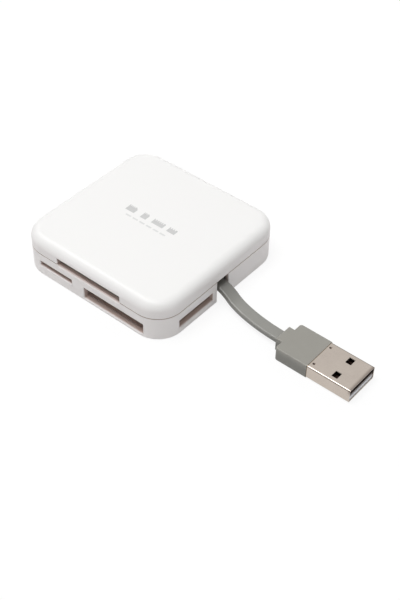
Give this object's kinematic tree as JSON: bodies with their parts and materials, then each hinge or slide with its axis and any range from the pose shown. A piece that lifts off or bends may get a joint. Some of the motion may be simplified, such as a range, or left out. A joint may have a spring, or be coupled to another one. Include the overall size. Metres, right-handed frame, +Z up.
{
  "type": "usb memory card reader",
  "caption": "White rounded square card reader with card slots in its front and right faces and a short flat cable that ends in a plug and stows underneath.",
  "frame": {"origin": "middle of the housing's outline, on its underside", "axes": "+Z up through the lid, -Y out of the front face with three card slots, +X out of the right face with the cable"},
  "size_m": [0.1074, 0.055, 0.0134],
  "materials": {
    "white_shell": "smooth, slightly glossy",
    "board": "solder mask",
    "socket_plastic": "moulded",
    "contact_metal": "gold plated",
    "socket_steel": "stamped",
    "chip_body": "moulded",
    "tin": "tinned",
    "crystal_can": "drawn",
    "capacitor_body": "ceramic",
    "resistor_body": "ceramic",
    "cable_grey": "satin",
    "relief_grey": "satin",
    "wire_jacket": "extruded",
    "grip_grey": "satin",
    "plug_steel": "nickel plated",
    "plug_white": "moulded"
  },
  "bodies": {
    "root": {"top_cover": "white_shell", "bottom_housing": "white_shell", "circuit_board": "board", "large_socket_base": "socket_plastic", "large_socket_cover": "socket_steel", "large_socket_contacts": "contact_metal", "micro_socket_base": "socket_plastic", "micro_socket_cover": "socket_steel", "micro_socket_contacts": "contact_metal", "stick_socket_frame": "socket_plastic", "stick_contacts": "contact_metal", "short_stick_contacts": "contact_metal", "controller_chip": "chip_body", "controller_leads": "tin", "crystal": "crystal_can", "capacitors": "capacitor_body", "resistors": "resistor_body", "strain_relief": "relief_grey", "cable_wires": "wire_jacket", "cable": "cable_grey", "plug_grip": "grip_grey", "plug_shell": "plug_steel", "plug_insulator": "plug_white", "plug_contacts": "contact_metal"}
  },
  "joints": []
}
